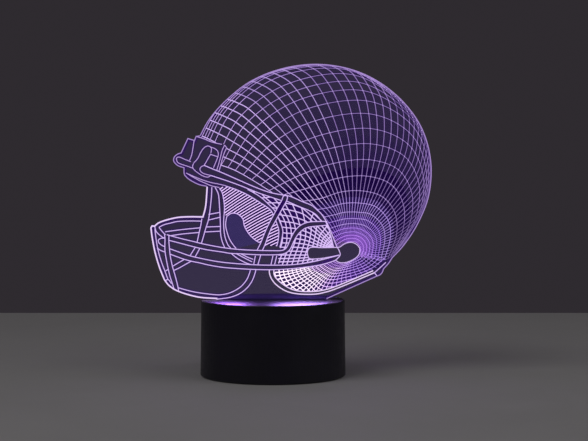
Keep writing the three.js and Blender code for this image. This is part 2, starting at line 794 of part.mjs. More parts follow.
const padZ = BOARD.topZ + 0.4;
const tabX = CELL.tipX + GAP + CONTACT.thickness / 2;
addPiece('battery_wire_red', wire([
  [tabX - 0.9, -CELL.pitch, 21.2], [tabX - 5, -10, 22.5], [24, 4, 21.6], [19, 17, 22.2],
  [12, 21.8, 26], [8.6, 24.4, 27], [7.6, 26.6, padZ + 0.4],
], WIRE.battery, 26), redWire);
addPiece('battery_wire_black', wire([
  [-tabX + 0.9, CELL.pitch, 21.2], [-tabX + 5, 17, 22.5], [-20, 20, 22.2],
  [-13, 21.6, 24.4], [-7.4, 24, 27], [-5.4, 27.2, padZ + 0.4],
], WIRE.battery, 20), blackWire);
const ledWires = [
  ['led_wire_red', redWire, 0],
  ['led_wire_green', greenBoard, 1],
  ['led_wire_blue', blueWire, 2],
];
for (const [name, material, index] of ledWires) {
  const shift = index * WIRE.ledPitch;
  addPiece(name, wire([
    [18 + shift, 3, LED_BOARD.bottomZ - 0.4], [18 + shift, 6, 27], [14 + shift, 14, 25],
    [6 + shift, 20.4, 28.6], [3.4 + shift * 0.75, 25.6, 27.6], [3.4 + shift * 0.75, 27.8, padZ + 0.2],
  ], WIRE.led, 22), material);
}

export default group;
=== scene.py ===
"""Looks of the edge-lit helmet lamp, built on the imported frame. Metres, +Z up.

The plate stands in the XZ plane and its engraved face looks along -Y. Every outline
of the drawing is given in millimetres, as (x, z) in the plane of the plate.
"""

import math

import bmesh
import bpy
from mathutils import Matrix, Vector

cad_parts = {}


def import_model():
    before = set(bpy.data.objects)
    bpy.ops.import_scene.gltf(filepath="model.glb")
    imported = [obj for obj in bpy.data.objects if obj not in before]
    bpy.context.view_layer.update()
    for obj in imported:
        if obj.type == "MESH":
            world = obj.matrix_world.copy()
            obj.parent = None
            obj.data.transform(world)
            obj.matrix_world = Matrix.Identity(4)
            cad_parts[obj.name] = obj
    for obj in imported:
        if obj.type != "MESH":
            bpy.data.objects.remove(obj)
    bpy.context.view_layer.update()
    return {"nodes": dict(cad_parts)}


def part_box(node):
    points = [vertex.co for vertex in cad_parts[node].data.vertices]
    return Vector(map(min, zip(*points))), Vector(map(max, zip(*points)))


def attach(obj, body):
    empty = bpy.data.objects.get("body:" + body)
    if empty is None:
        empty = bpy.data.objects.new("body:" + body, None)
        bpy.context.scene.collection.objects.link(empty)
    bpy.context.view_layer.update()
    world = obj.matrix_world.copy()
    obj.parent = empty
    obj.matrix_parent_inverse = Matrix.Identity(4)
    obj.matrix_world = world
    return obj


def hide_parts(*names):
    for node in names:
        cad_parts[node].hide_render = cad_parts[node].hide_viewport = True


MM = 0.001
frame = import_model()
nodes = frame["nodes"]

# ------------------------------------------------------------------ 2-D curves

BORDER_HALVINGS = 8
TOUCHING = 0.05  # points closer than this count as one
INSET_MITRE_LIMIT = 1.4
RIBBON_MITRE_LIMIT = 1.6


def spline(points, steps=6):
    """A smooth curve through the points, straight where there are only two."""
    if len(points) < 3:
        return list(points)
    last = len(points) - 1
    curve = []
    for i in range(last):
        p0, p1, p2, p3 = points[max(i - 1, 0)], points[i], points[i + 1], points[min(i + 2, last)]
        for step in range(steps):
            t = step / steps
            curve.append(tuple(
                0.5 * (2 * b + (c - a) * t + (2 * a - 5 * b + 4 * c - d) * t * t
                       + (3 * b - a - 3 * c + d) * t ** 3)
                for a, b, c, d in zip(p0, p1, p2, p3)
            ))
    curve.append(points[last])
    return curve


def inside(point, polygon):
    """True where the point lies in the closed polygon."""
    x, z = point
    found = False
    for (x0, z0), (x1, z1) in zip(polygon, polygon[1:] + polygon[:1]):
        if (z0 > z) != (z1 > z) and x < x0 + (z - z0) * (x1 - x0) / (z1 - z0):
            found = not found
    return found


def border(a, b, polygon, kept):
    """The place between a, on the kept side of the border, and b, on the other side."""
    for _ in range(BORDER_HALVINGS):
        middle = ((a[0] + b[0]) / 2, (a[1] + b[1]) / 2)
        if inside(middle, polygon) == kept:
            a = middle
        else:
            b = middle
    return a


def clip(line, polygon, kept=True):
    """The stretches of the line in the polygon, or outside it where kept is False."""
    stretches = []
    current = []
    before = None
    before_in = False
    for point in line:
        here_in = inside(point, polygon) == kept
        if here_in and not before_in:
            current = [border(point, before, polygon, kept)] if before else []
        if here_in:
            current.append(point)
        elif before_in:
            current.append(border(before, point, polygon, kept))
            stretches.append(current)
            current = []
        before = point
        before_in = here_in
    if len(current) > 1:
        stretches.append(current)
    return [stretch for stretch in stretches if len(stretch) > 1]


def cut_all(lines, polygon, kept=True):
    return [stretch for line in lines for stretch in clip(line, polygon, kept)]


def clean(line):
    """The line without points that fall on one another."""
    kept = [line[0]]
    for point in line[1:]:
        if math.dist(point, kept[-1]) > TOUCHING:
            kept.append(point)
    return kept


def unit(a, b):
    length = math.dist(a, b) or 1.0
    return ((b[0] - a[0]) / length, (b[1] - a[1]) / length)


def inset(points, distance):
    """A closed outline moved inwards."""
    area = sum(a[0] * b[1] - b[0] * a[1] for a, b in zip(points, points[1:] + points[:1]))
    turn = 1 if area > 0 else -1
    moved = []
    for i, point in enumerate(points):
        before = unit(points[i - 1], point)
        after = unit(point, points[(i + 1) % len(points)])
        normal = (-(before[1] + after[1]) * turn, (before[0] + after[0]) * turn)
        size = math.hypot(*normal) or 1.0
        mitre = min(2.0 / size, INSET_MITRE_LIMIT) / size * distance
        moved.append((point[0] + normal[0] * mitre, point[1] + normal[1] * mitre))
    return moved


def right_of(x, points):
    """The part of the smooth curve that lies to the right of x."""
    return [point for point in spline(points) if point[0] > x]


def between_heights(low, high, points):
    return [point for point in spline(points) if low < point[1] < high]


def steps_between(first, last, step):
    count = round(abs(last - first) / step)
    return [first + (last - first) * i / count for i in range(count + 1)]


# ------------------------------------------------------------ helmet drawing

TAB_LEFT, TAB_RIGHT, TAB_BOTTOM = -33.4, 32.3, 34.3
PLATE_FRONT, PLATE_BACK = -2.0, 2.0
CHAMFER = 0.12
EDGE_STEPS = 8

# The cut edge in stretches, clockwise from the tab. Each one starts where the one before it ends.
TAB_EDGE = [
    [(TAB_RIGHT, TAB_BOTTOM), (TAB_LEFT, TAB_BOTTOM)],
    [(TAB_LEFT, TAB_BOTTOM), (TAB_LEFT, 45.9)],
]
GUARD_EDGE = [
    [(TAB_LEFT, 45.9), (-45, 46.8), (-56.5, 50.1), (-62.3, 53.6), (-65.4, 57.4)],
    [(-65.4, 57.4), (-68.4, 65), (-71, 74), (-72.7, 83), (-73.4, 88.8)],
    [(-73.4, 88.8), (-72.6, 90.2)],
    [(-72.6, 90.2), (-70.9, 90.1)],
    [(-70.9, 90.1), (-68.6, 92), (-64, 93.7), (-57, 95.3), (-49.5, 95.7), (-42.2, 95.6)],
    [(-42.2, 95.6), (-40.6, 102), (-39.7, 113.3)],
]
BROW_EDGE = [
    [(-39.7, 113.3), (-44.5, 114.4), (-49.6, 117), (-52.6, 119.6), (-53.4, 121.5)],
    [(-53.4, 121.5), (-53.4, 124.4)],
    [(-53.4, 124.4), (-57, 125.7), (-59.4, 128.2), (-59.3, 130.8), (-57.4, 132.8), (-55, 133.7)],
    [(-55, 133.7), (-50.9, 142.4)],
    [(-50.9, 142.4), (-47, 141.2)],
    [(-47, 141.2), (-46, 143.6)],
    [(-46, 143.6), (-43.6, 143.9)],
]
CROWN = [(-43.6, 143.9), (-38.2, 153.6), (-28.5, 164.6), (-14, 176), (4, 183.5), (24, 186.5),
         (44, 184.2), (62, 176.8), (78, 164), (89.4, 147.6), (94.6, 128), (93.4, 108),
         (87, 91.4), (79, 78.8), (71.6, 70.6)]
NAPE_EDGE = [
    [(71.6, 70.6), (69.4, 67.2), (66.5, 64)],
    [(66.5, 64), (65.7, 61.9), (64.3, 60.3), (62.4, 59.5)],
    [(62.4, 59.5), (TAB_RIGHT, 46)],
]
TAB_EDGE_RIGHT = [(TAB_RIGHT, 46), (TAB_RIGHT, TAB_BOTTOM)]
OUTLINE = TAB_EDGE + GUARD_EDGE + BROW_EDGE + [CROWN] + NAPE_EDGE + [TAB_EDGE_RIGHT]

# The face guard: the two edges of every bar.
GUARD = [
    # bottom bar
    [(-57, 52.8), (-47, 50.2), (-35, 48.6), (-30, 48.7), (-25, 50), (-20, 52.8), (-17, 55.8),
     (-15, 59), (-13.5, 63.3)],
    [(-34, 45.9), (-30, 46.3), (-25, 47.2), (-20, 49.2), (-16, 52.2), (-13, 56), (-11.2, 60),
     (-10.2, 63.6)],
    # far bars
    [(-68.2, 89), (-65, 90.6), (-61, 91.6), (-57, 92.5), (-50, 92.8), (-42.5, 92.7)],
    [(-38.7, 93.3), (-31.8, 95)],
    [(-38.5, 96.7), (-32, 97.9)],
    [(-64.5, 86.3), (-58, 87.2), (-51, 88), (-43.7, 88.7)],
    [(-39.9, 89.2), (-31.5, 89.5)],
    [(-61, 84), (-55, 84.9), (-49, 85.5), (-44.2, 85.9)],
    [(-40.7, 86.2), (-31.4, 86.7)],
    # front corner
    [(-70.6, 88), (-70.2, 84), (-69.3, 78), (-68.2, 73), (-66.5, 67.5), (-64.6, 62.5), (-63, 58)],
    [(-68.2, 89), (-65.8, 86), (-64.3, 84.6)],
    [(-70.7, 89.5), (-70, 86.8), (-68.5, 85), (-66, 83), (-64.8, 82.6)],
    [(-64.9, 85), (-64.6, 82), (-64.7, 78), (-64.6, 74.5), (-63.9, 70), (-62.8, 64.5),
     (-61.8, 60), (-60.2, 55), (-59.2, 51.8)],
    [(-62.2, 84.5), (-62.3, 81), (-62, 77), (-61.5, 72), (-60.3, 66), (-58.6, 60),
     (-57.2, 54.5), (-56.5, 50.7)],
    [(-64.9, 82.5), (-67, 82.4), (-68.6, 81.3), (-68.2, 79.7), (-66.5, 78.2), (-64.8, 77.4)],
    [(-69.3, 76.7), (-67.5, 75.3), (-64.7, 74.2)],
    [(-64.3, 62.8), (-62.8, 63.8)],
    [(-64.5, 56.8), (-62.8, 57.7), (-60.8, 55.2)],
    # upright bar and its foot
    [(-42.5, 94.2), (-43.1, 90.5), (-44, 86.5), (-45.4, 80.1)],
    [(-36.5, 113), (-36.8, 107), (-37.8, 98), (-38.7, 93), (-40.3, 88), (-42.3, 81), (-43, 79.3)],
    [(-46.5, 77), (-49.5, 72.2)],
    [(-43.7, 76.5), (-46.5, 71.5)],
    [(-53, 69.8), (-56.5, 67.8), (-59.8, 65.8)],
    [(-48.8, 68.8), (-52, 67), (-55.5, 65), (-59.2, 63.2)],
    # the strap's foot, between the two front bars
    [(-10.5, 72), (-11.5, 67)],
    [(-7.3, 72.4), (-9, 66.7)],
]

# The upper front bar climbs to the ear, and the lower one ends under it.
UPPER_BAR_TOP = [(-63.5, 84.6), (-60, 83.6), (-54, 82), (-48, 80.6), (-42, 79.1), (-35, 77.7),
                 (-29, 76.7), (-20, 75.7), (-10, 75.2), (0, 75), (5, 75.1), (7.5, 76.2),
                 (9, 78.5), (10.5, 82), (12.5, 86), (15, 89), (18, 91), (22, 92.2), (28, 92.5),
                 (32.5, 92.5)]
UPPER_BAR_UNDER = [(-62.2, 81.2), (-56, 79.6), (-50, 78), (-44, 76.5), (-38, 75.3), (-31, 74.3),
                   (-25.5, 73.4), (-19, 73.1), (-10, 72.6), (0, 72.5), (6, 73), (9, 74.5),
                   (10.8, 76.8), (12.5, 80.5), (14.5, 84), (17, 86.8), (20, 88.7), (24, 89.5),
                   (30, 90), (33, 90.5)]
LOWER_BAR_TOP = [(-62, 76.2), (-58, 74.8), (-53, 73), (-50, 72), (-46, 71), (-40, 69.7),
                 (-34, 68.6), (-28, 67.8), (-20, 67.1), (-10, 66.5), (0, 66.3), (10, 66.5),
                 (18, 67.3), (25, 68.6), (32, 70.3), (39.5, 72.3)]
LOWER_BAR_UNDER = [(-61.8, 73), (-57, 71.2), (-53, 69.8), (-48.5, 68.6), (-44, 67.7), (-38, 66.3),
                   (-30, 65), (-20, 64.2), (-10, 63.7), (0, 63.6), (10, 64.1), (20, 65.2),
                   (28, 66.4), (34, 68), (37.5, 69.3)]

# The strap that runs from the brow band down to the front bars, in front of the rim.
STRAP_LEFT = [(6, 107.3), (5.2, 105), (2.9, 101), (0.4, 96.4), (-2, 92), (-4, 87.8), (-5.6, 84),
              (-7.4, 79.5), (-9.5, 75.3)]
STRAP_RIGHT = [(8.8, 107.3), (8, 104.5), (5.5, 100), (3.1, 95.6), (1, 91.8), (-0.8, 88.7),
               (-2.8, 84), (-4.6, 79), (-6.3, 75.2)]
STRAP_TOP = [(6, 107.3), (7.4, 108.3), (8.8, 107.3)]

# The band that runs from the brow to the ear: its upper and its lower edge.
BAND_UPPER = [(-41, 126), (-35.5, 123.7), (-30, 121.5), (-20, 117.1), (-10.3, 112.9),
              (-1.9, 109.9), (6, 108.3), (11, 107.3), (17.3, 104.5), (23.2, 102.1),
              (26.8, 99.1), (29.2, 96.7), (32.2, 91.9), (34.8, 86), (37, 80.5), (38.4, 77)]
BAND_LOWER = [(-37, 120), (-26.5, 116.5), (-19.9, 114.1), (-13.9, 111.7), (-7.9, 109.3),
              (-0.7, 106.9), (4.7, 105.1)]
BAND_LOWER_EAR = [(8.2, 104.7), (15.5, 101.5), (21.4, 99.1), (25.6, 96.7), (28.6, 93.1)]
BAND_EAR_LEFT = [(31.5, 92.5), (33.4, 88), (35, 82.5), (36.2, 77.4)]

# The near rim of the face opening, and the far rim seen through it.
RIM_OUTER = [(-15.1, 111.7), (-7.9, 107.5), (-2.5, 102.7), (1.4, 98.5), (4.1, 92.5),
             (5.9, 87.2), (5.3, 81.8), (4.1, 77)]
RIM_INNER = [(-28.3, 113.7), (-22.3, 111.7), (-15.1, 108.4), (-7.9, 103.9), (-2.5, 100.3),
             (-0.1, 97.3), (2.3, 91.3), (3.5, 87.2), (3.2, 81.8), (2.3, 77.8)]
FAR_RIM_INNER = [(-32, 112.3), (-30.4, 109.9), (-29.3, 104.5), (-29, 99.7), (-29.5, 91.9),
                 (-28.9, 84.2), (-27.1, 78.8), (-25.3, 76.6)]
FAR_RIM = [
    [(-34.6, 112.9), (-32.6, 108.7), (-31.9, 100.9), (-31.5, 92.5), (-31.3, 85.1),
     (-30.4, 80.6), (-28.9, 76.9)],
    FAR_RIM_INNER,
    [(-25, 73.3), (-21, 70.2), (-16, 67.6), (-13.5, 66.8)],
    [(-22, 73.2), (-17, 70.6), (-12.5, 68.3)],
    [(-19, 73), (-15, 71), (-11.8, 69.8)],
]
PAD = [(-27.6, 95.5), (-25, 97.3), (-22, 97.3), (-19.5, 95.8), (-17.8, 93.5), (-17.3, 90.5),
       (-16, 87.5), (-13.5, 84), (-10.5, 81.3), (-8, 79.8)]
PAD_BACK = [(-27.6, 95.5), (-28.3, 91), (-27.7, 87), (-26, 82), (-23.8, 78.5), (-22, 76.3)]

JAW_CORNER = (60.8, 61.8)
NAPE_TOP = (67.6, 68)
JAW_OUTER = [(-2.2, 63.5), (-2, 61), (-0.8, 58), (1.5, 55), (5, 52.3), (9, 50.3), (14, 49.2),
             (20, 48.8), (26, 49), (31, 50), (36, 51.5), (46, 55.5), JAW_CORNER]
JAW_INNER = [(0.6, 63.3), (0.6, 61), (1.8, 58.6), (4.5, 56), (8, 53.5), (12, 51.6), (17, 50.6),
             (24, 50.5), (30, 51.3), (36, 53), (46, 57), (60, 63)]
NAPE = [
    [JAW_CORNER, (62.5, 59.6)],
    [JAW_CORNER, (64.6, 65.2), NAPE_TOP],
]
BAR_STAYS = [
    [(-1.2, 66.5), (0, 72)],
    [(1, 66.7), (2.3, 72)],
]

EAR_CENTRE = (45, 74)
UNDER_EAR = (51, 68)
EAR_TOP = [(38.4, 77), (40, 77.2), (42, 78.6), (44, 79.6), (46.5, 80), (48.5, 79.6),
           (50.5, 78.4), (51.8, 76.6), (52, 75)]
EAR_BOTTOM = [(52, 75), (51.6, 73), (50, 71), (47.5, 69.3), (44, 68), (41, 67.7), (39, 68.2),
              (37.5, 69.3)]
EAR_FRONT = [(38.4, 77), (39.4, 75.5), (40.2, 72.3), (37.5, 69.3)]
SLOT_TOP = [(20.6, 73.5), (21, 75.5), (23, 77), (30, 76.8), (38.4, 77)]
SLOT_BOTTOM = [(20.6, 73.5), (21.5, 70.6), (24, 70), (30, 70.5), (36, 71.6), (39.7, 72.4)]

# The clip of the guard on the brow, with its strap loops, and the brow rim.
CLIP_TOP = [(-46, 143.4), (-41, 141.8), (-37.5, 140.3), (-34, 139.3), (-30.5, 138.6)]
CLIP_BACK = [(-27.6, 136.5), (-29, 133.5), (-30.3, 129.5), (-31.5, 125), (-32.2, 122.6)]
CLIP_CORNER = (-28.8, 138.2)
CLIP_RIGHT = -31  # left of here, the clip covers the band
CLIP = [
    CLIP_TOP,
    [(-47, 141.2), (-47.8, 136), (-48.6, 132), (-49.8, 129)],
    [(-49, 128.2), (-53, 129.8), (-56, 131), (-57.6, 130.2), (-57, 128), (-55, 126.8),
     (-51, 125.5), (-47.8, 124.3)],
    [(-51.8, 121.5), (-48.5, 119.5), (-44, 117), (-40, 115.2), (-37, 113.9), (-34.5, 113.3),
     (-32, 112.8)],
    [(-50.5, 120.9), (-47, 119.3), (-42, 117.3), (-37, 115.8), (-33, 115), (-28.3, 113.9)],
    [(-47.3, 127.5), (-45, 130), (-43.5, 133), (-42, 135.5), (-40.5, 137), (-39, 137.6),
     (-37.5, 137.2), (-36.7, 136), (-37, 133.5)],
    [(-37, 133), (-38.5, 130.5), (-40, 127.8), (-41, 126.2)],
    [(-37.5, 137), (-35, 136.2), (-33.2, 134.8), (-32.6, 133), (-32.9, 131), (-34.3, 127.5),
     (-35.5, 124.6)],
    [(-37.2, 132.6), (-33, 131.2)],
    [(-41, 126), (-42.8, 125.2), (-43.6, 123.8), (-43, 122.3), (-41, 121), (-37, 120)],
    [(-47.3, 127.3), (-48, 125.5), (-47.3, 123.7), (-45, 121.7), (-42, 119.8), (-39, 119),
     (-37, 120)],
    [CLIP_CORNER, (-30.3, 135), (-31.3, 131), (-32.5, 126.5), (-33.7, 122.8)],
    CLIP_BACK,
    [CLIP_CORNER, CLIP_BACK[0]],
]

# Crossings of the shell's grid, which fix a smooth sheet of rings and ribs. The rings
# count outwards from the ear, and the ribs count from the brow, over the crown, to the nape.
RING_KNOTS = (0, 4, 7, 9, 12, 15, 18, 19.5, 23)
RIB_KNOTS = (0, 6, 12, 18, 24, 30, 36, 44)
SHELL = (
    ((39.9, 77.2), (43.2, 79.5), (45.7, 80.4), (48.4, 80.4), (50.2, 79.7), (51.8, 78.0),
     (52.5, 75.4), (51.0, 71.6)),
    ((32.0, 84.0), (39.5, 87.2), (44.6, 88.4), (49.8, 88.5), (54.4, 87.0), (58.2, 83.8),
     (60.0, 79.0), (58.8, 70.5)),
    ((20.0, 93.0), (35.5, 96.2), (43.0, 98.0), (51.6, 98.0), (58.8, 96.6), (65.4, 90.2),
     (67.0, 82.0), (64.6, 69.6)),
    ((8.5, 103.5), (27.3, 106.0), (41.0, 110.2), (54.2, 110.7), (65.9, 107.0), (73.0, 97.4),
     (74.0, 85.0), (68.8, 70.2)),
    ((-7.5, 114.3), (11.0, 127.3), (33.0, 135.8), (58.2, 138.9), (78.6, 131.4), (87.4, 114.0),
     (85.0, 94.0), (73.4, 74.0)),
    ((-22.5, 123.0), (-5.5, 144.4), (21.3, 160.0), (55.8, 164.5), (81.5, 151.5), (92.4, 129.0),
     (90.4, 102.0), (76.2, 77.4)),
    ((-35.0, 127.6), (-18.7, 156.0), (10.5, 175.2), (48.2, 179.9), (79.0, 160.8), (93.6, 136.0),
     (93.0, 108.6), (77.6, 78.4)),
    ((-41.0, 131.0), (-25.8, 159.6), (2.4, 180.2), (43.2, 183.6), (76.6, 164.2), (93.2, 139.4),
     (94.0, 112.0), (78.4, 79.0)),
    ((-47.0, 134.0), (-31.2, 161.6), (-3.0, 181.2), (38.5, 185.4), (74.6, 167.4), (92.4, 142.0),
     (94.4, 115.0), (79.0, 79.6)),
)
RINGS = 23
RIBS = 44


def eased(knots, values, at):
    """A smooth value at a place between unevenly spaced knots."""
    last = len(knots) - 1
    i = 0
    while i < last - 1 and knots[i + 1] <= at:
        i += 1

    def slope(k):
        a, b = max(k - 1, 0), min(k + 1, last)
        return [(values[b][c] - values[a][c]) / (knots[b] - knots[a]) for c in (0, 1)]

    span = knots[i + 1] - knots[i]
    s = (at - knots[i]) / span
    m0, m1 = slope(i), slope(i + 1)
    return tuple(
        (2 * s ** 3 - 3 * s ** 2 + 1) * values[i][c]
        + (s ** 3 - 2 * s ** 2 + s) * span * m0[c]
        + (3 * s ** 2 - 2 * s ** 3) * values[i + 1][c]
        + (s ** 3 - s ** 2) * span * m1[c]
        for c in (0, 1)
    )


def eased_number(knots, numbers, at):
    return eased(knots, [(number, 0) for number in numbers], at)[0]


def shell_point(ring, rib):
    return eased(RING_KNOTS, [eased(RIB_KNOTS, row, rib) for row in SHELL], ring)


def edge_line(stretches):
    """One line through stretches that follow one another."""
    return clean([point for stretch in stretches for point in spline(stretch, EDGE_STEPS)])


def outline_points():
    """The closed outline of the plate. Its first point isn't repeated at the end."""
    return edge_line(OUTLINE)[:-1]


# The part of the plate that the shell's grid covers, a little inside its contours.
shell_border = (
    spline(CROWN, EDGE_STEPS) + [NAPE_TOP, JAW_CORNER, UNDER_EAR] + spline(EAR_TOP)[::-1]
    + right_of(CLIP_RIGHT, BAND_UPPER)[::-1] + spline(CLIP_BACK)[::-1] + [CLIP_CORNER]
    + spline(CLIP_TOP)[::-1]
)
SHELL_MARGIN = 0.3
shell_field = inset(clean(shell_border), SHELL_MARGIN)

GLOWING_RINGS = 8.5  # the gaps between the rings glow up to here
# The light fades from the ear outwards and is strong again at the brow. Each zone of the
# shell has its rings and ribs, the colours of the light of its rings and its ribs, and the colour of
# the painted glow in its gaps.
ZONES = (
    ((0, 2.5), (0, RIBS), (0.56, 0.26, 1.0), (0.54, 0.23, 1.0), (0.052, 0.006, 0.21)),
    ((2.5, 4.5), (0, RIBS), (0.49, 0.25, 0.97), (0.54, 0.27, 1.0), (0.030, 0.002, 0.145)),
    ((4.5, 6.5), (0, RIBS), (0.38, 0.20, 0.80), (0.38, 0.21, 0.80), (0.018, 0.001, 0.09)),
    ((6.5, GLOWING_RINGS), (0, RIBS), (0.44, 0.28, 0.80), (0.40, 0.26, 0.72), (0.010, 0.0005, 0.055)),
    ((GLOWING_RINGS, RINGS), (0, 8), (0.60, 0.40, 0.86), (0.70, 0.50, 0.98), None),
    ((GLOWING_RINGS, RINGS), (8, 14), (0.42, 0.28, 0.67), (0.42, 0.29, 0.64), None),
    ((GLOWING_RINGS, RINGS), (14, 22), (0.31, 0.20, 0.52), (0.28, 0.18, 0.46), None),
    ((GLOWING_RINGS, 15.5), (22, 34), (0.30, 0.19, 0.50), (0.23, 0.145, 0.39), None),
    ((GLOWING_RINGS, 15.5), (34, RIBS), (0.22, 0.14, 0.38), (0.18, 0.11, 0.31), None),
    ((15.5, RINGS), (22, 34), (0.18, 0.11, 0.33), (0.165, 0.10, 0.30), None),
    ((15.5, RINGS), (34, RIBS), (0.13, 0.08, 0.25), (0.12, 0.075, 0.23), None),
)
# The crossings from this ring on, and of the ribs before this one, show as dots.
DOTS_FROM_RING = 5
DOTS_TO_RIB = 28
# Past the rings whose gaps glow, a faint glow ends ring by ring.
FAINT_RINGS = (9.5, 10.5, 11.5, 12.5, 14, 16)


def zone_rings(ring_span, rib_span):
    lines = []
    for ring in range(RINGS + 1):
        if ring_span[0] <= ring <= ring_span[1]:
            arc = [shell_point(ring, rib) for rib in steps_between(*rib_span, step=0.5)]
            lines.extend(clip(arc, shell_field))
    return lines


def zone_ribs(ring_span, rib_span):
    """The ribs of a zone. The next zone draws the rib that they share."""
    lines = []
    for rib in range(rib_span[0], rib_span[1] + 1):
        if rib < rib_span[1] or rib == RIBS:
            ray = [shell_point(ring, rib) for ring in steps_between(*ring_span, step=0.4)]
            lines.extend(clip(ray, shell_field))
    return lines


def zone_area(ring_span):
    """The part of the shell between two rings."""
    near, far = (
        clip([shell_point(ring, rib) for rib in steps_between(0, RIBS, step=0.5)], shell_field)
        for ring in ring_span
    )
    return (near[0] if near else spline(EAR_TOP)) + far[0][::-1]


crossings = [
    shell_point(ring, rib) for ring in range(DOTS_FROM_RING, RINGS) for rib in range(DOTS_TO_RIB)
    if inside(shell_point(ring, rib), shell_field)
]

# The mesh on the cheek. Its rings count towards the ear and its ribs count downwards.
CHEEK_RING_KNOTS = (1, 3, 5, 6, 8, 10, 12)
CHEEK_RIB_KNOTS = (0, 2, 4, 6, 8, 11, 13)
CHEEK = (
    ((-4.5, 106.7), (2.6, 100.3), (7.2, 92.3), (8.3, 85.5), (8, 79.6), (5.2, 72.4), (3.7, 68.3)),
    ((4.5, 107.6), (9.2, 99.5), (12.6, 91.6), (13.7, 85.1), (12.9, 79.6), (10.2, 72.4), (8.9, 68.4)),
    ((16, 104.4), (18.1, 96.9), (19.5, 89.4), (19.5, 83.8), (18.6, 79), (16.4, 72.4), (15.2, 68.8)),
    ((24.3, 97.3), (22.6, 93.4), (22.9, 87.7), (22.2, 82.7), (21.2, 78.4), (19.3, 72.4),
     (18.2, 69.1)),
    ((32.2, 89.5), (29.7, 86.4), (28, 83.9), (27, 80.1), (26.3, 77.2), (25.5, 73), (24, 69.9)),
    ((35.3, 84.3), (33.4, 82.4), (31.7, 80.7), (30.6, 78.4), (30.2, 76.5), (31, 73.4), (29.6, 70.8)),
    ((36.3, 80.5), (35.5, 79.6), (34.4, 78.3), (33.2, 77.3), (33.5, 75.8), (34.5, 73.6), (34.5, 71.5)),
)

# The mesh on the jaw and the nape. Each pair of points fixes one rib: where it starts near
# the ear and where it ends.
JAW_KNOTS = (0, 2.6, 5.2, 7.9, 12.4, 17, 22, 26)
JAW_RIB_STARTS = ((35.8, 70.6), (35.8, 70.6), (36.6, 70), (38.4, 68.6), (42.6, 67.7), (46.9, 69),
                  (50.9, 72.2), (52.3, 75))
JAW_RIB_ENDS = ((0.8, 64), (1.8, 58.6), (8, 53.5), (17, 50.6), (30, 51.3), (44, 56.2), (60, 63),
                (69, 69.5))
# How far the middle of each rib bends upwards from a straight line.
JAW_BENDS = (-1.8, -1.6, -1.0, 0, 1.3, 1.4, 0.8, 0)
# How many rings there are from the ear to the end of each rib. The outer ones end at the contour.
JAW_RINGS = (16, 16, 15, 13.5, 10, 8.5, 8, 8)
JAW_CROWDING = 1.2  # above 1, the rings crowd towards the ear
# The light of the mesh is white on the jaw and turns violet towards the ear and the nape. Each
# zone has how far across it goes, its first and last rib, the colour of the light of its lines,
# the growth of their width and the colour of the painted glow in its gaps.
JAW_ZONES = (
    ((0, 0.2), (0, 14), (0.56, 0.30, 0.86), 0.0095, (0.030, 0.003, 0.11)),
    ((0.2, 0.4), (0, 12), (0.84, 0.56, 1.0), 0.0105, (0.022, 0.003, 0.08)),
    ((0.4, 1), (0, 10), (0.97, 0.80, 1.0), 0.0145, (0.016, 0.003, 0.06)),
    ((0.4, 1), (10, 12), (0.92, 0.70, 1.0), 0.0145, (0.020, 0.003, 0.08)),
    ((0.2, 1), (12, 14), (0.78, 0.50, 1.0), 0.014, (0.024, 0.003, 0.10)),
    ((0, 1), (14, 18), (0.64, 0.38, 1.0), 0.013, (0.034, 0.003, 0.14)),
    ((0, 1), (18, 22), (0.50, 0.28, 0.92), 0.012, (0.024, 0.002, 0.11)),
    ((0, 1), (22, 26), (0.40, 0.24, 0.74), 0.011, (0.012, 0.001, 0.06)),
)
JAW_PAST_END = 1.15  # the lines are drawn past the ends of the ribs and cut at the contour
JAW_AREA_SPAN = (0.02, 0.99)

# The upper front bar parts the mesh on the cheek.
cheek_back = (
    right_of(5, UPPER_BAR_TOP)[::-1] + spline(RIM_OUTER)[::-1]
    + [(-12, 110.5), (-0.7, 106.9), (4.7, 105.1)] + spline(BAND_LOWER_EAR)
)
cheek_front = (
    right_of(3, UPPER_BAR_UNDER) + spline(BAND_EAR_LEFT) + spline(SLOT_TOP)[::-1]
    + spline(SLOT_BOTTOM) + right_of(2, LOWER_BAR_TOP)[::-1] + [(3.2, 72.6)]
)
jaw = (
    right_of(0.7, JAW_INNER)[::-1] + right_of(1, LOWER_BAR_UNDER) + spline(EAR_BOTTOM)[::-1]
    + [(57, 76), (68, 71.5)]
)


def cheek_point(ring, rib):
    return eased(CHEEK_RING_KNOTS, [eased(CHEEK_RIB_KNOTS, row, rib) for row in CHEEK], ring)


def jaw_point(across, rib):
    a = eased(JAW_KNOTS, JAW_RIB_STARTS, rib)
    b = eased(JAW_KNOTS, JAW_RIB_ENDS, rib)
    along = unit(a, b)
    bend = eased_number(JAW_KNOTS, JAW_BENDS, rib) * 4 * across * (1 - across)
    return (
        a[0] + (b[0] - a[0]) * across + along[1] * bend,
        a[1] + (b[1] - a[1]) * across - along[0] * bend,
    )


# The cheek's rings and ribs run past the mesh and are cut where it ends.
CHEEK_FIRST_RING, CHEEK_LAST_RING, CHEEK_RIBS_END = -2, 14, 13
CHEEK_FIRST_RIB, CHEEK_LAST_RIB = -1, 14
cheek_net = []
for ring in range(CHEEK_FIRST_RING, CHEEK_LAST_RING + 1):
    ribs_passed = steps_between(CHEEK_FIRST_RIB, CHEEK_LAST_RIB, step=0.25)
    cheek_net.append([cheek_point(ring, rib) for rib in ribs_passed])
for rib in range(CHEEK_FIRST_RIB, CHEEK_LAST_RIB + 1):
    rings_passed = steps_between(CHEEK_FIRST_RING, CHEEK_RIBS_END, step=0.25)
    cheek_net.append([cheek_point(ring, rib) for ring in rings_passed])


def past_contour(across_span):
    """How far across the lines of a zone are drawn before they are cut."""
    return JAW_PAST_END if across_span[1] == 1 else across_span[1]


